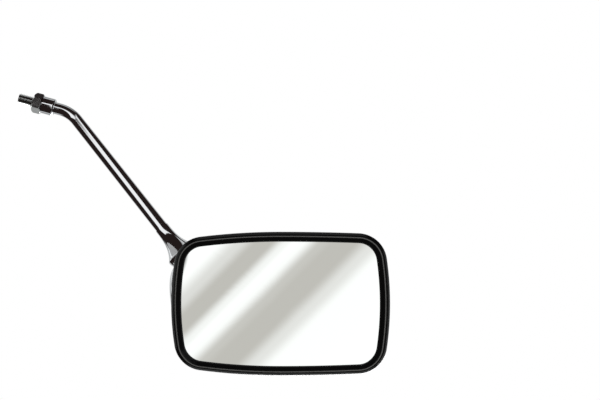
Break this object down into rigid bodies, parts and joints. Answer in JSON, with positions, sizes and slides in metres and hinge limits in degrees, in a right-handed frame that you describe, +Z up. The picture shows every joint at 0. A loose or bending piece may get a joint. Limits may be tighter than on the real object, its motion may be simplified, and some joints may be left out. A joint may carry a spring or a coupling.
{
  "type": "motorcycle mirror",
  "caption": "Left-hand motorcycle mirror: convex glass in a chromed pressed housing with a rubber surround, on a bent chromed arm with a threaded stud, locknut and sprung ball joint.",
  "frame": {"origin": "centre of the mounting stud where it leaves the lower face of the locknut", "axes": "-Z along the stud to its tip, +Z up the arm, glass facing -Y"},
  "size_m": [0.1713, 0.0582, 0.3287],
  "materials": {
    "chrome": "bright chromium plate on polished steel",
    "zinc": "bright zinc plate on turned steel",
    "nylon": "natural moulded nylon",
    "rubber": "moulded black rubber with a soft sheen",
    "mirror_glass": "silvered convex glass",
    "foam": "closed-cell foam sheet",
    "board": "pressed fibre board"
  },
  "bodies": {
    "arm": {"stud": "zinc", "collar": "chrome", "arm_tube": "chrome", "bell": "chrome", "clamp_screw": "zinc", "lower_spring": "zinc", "upper_spring": "zinc", "flat_washer": "zinc", "spring_nut": "zinc"},
    "locknut": {"locknut": "zinc"},
    "cup": {"cup_washer": "zinc"},
    "liner": {"liner": "nylon"},
    "head": {"housing": "chrome", "socket_plate": "zinc", "rubber_surround": "rubber", "glass": "mirror_glass", "foam_sheet": "foam", "backing_board": "board"}
  },
  "joints": [
    {"name": "locknut_turn", "type": "hinge", "parent": "arm", "child": "locknut", "pos_m": [0, 0, 0.0035], "axis": [0, 0, 1], "continuous": true},
    {"name": "head_spin", "type": "hinge", "parent": "arm", "child": "cup", "pos_m": [0.08274, -0.02217, 0.14575], "axis": [0.5746, -0.154, 0.8039], "continuous": true},
    {"name": "head_tilt", "type": "hinge", "parent": "cup", "child": "liner", "pos_m": [0.08274, -0.02217, 0.14575], "axis": [-0.8136, 0, 0.5815], "range_deg": [-10, 10]},
    {"name": "head_swing", "type": "hinge", "parent": "liner", "child": "head", "pos_m": [0.08274, -0.02217, 0.14575], "axis": [0.0895, 0.9881, 0.1252], "range_deg": [-10, 10]}
  ]
}
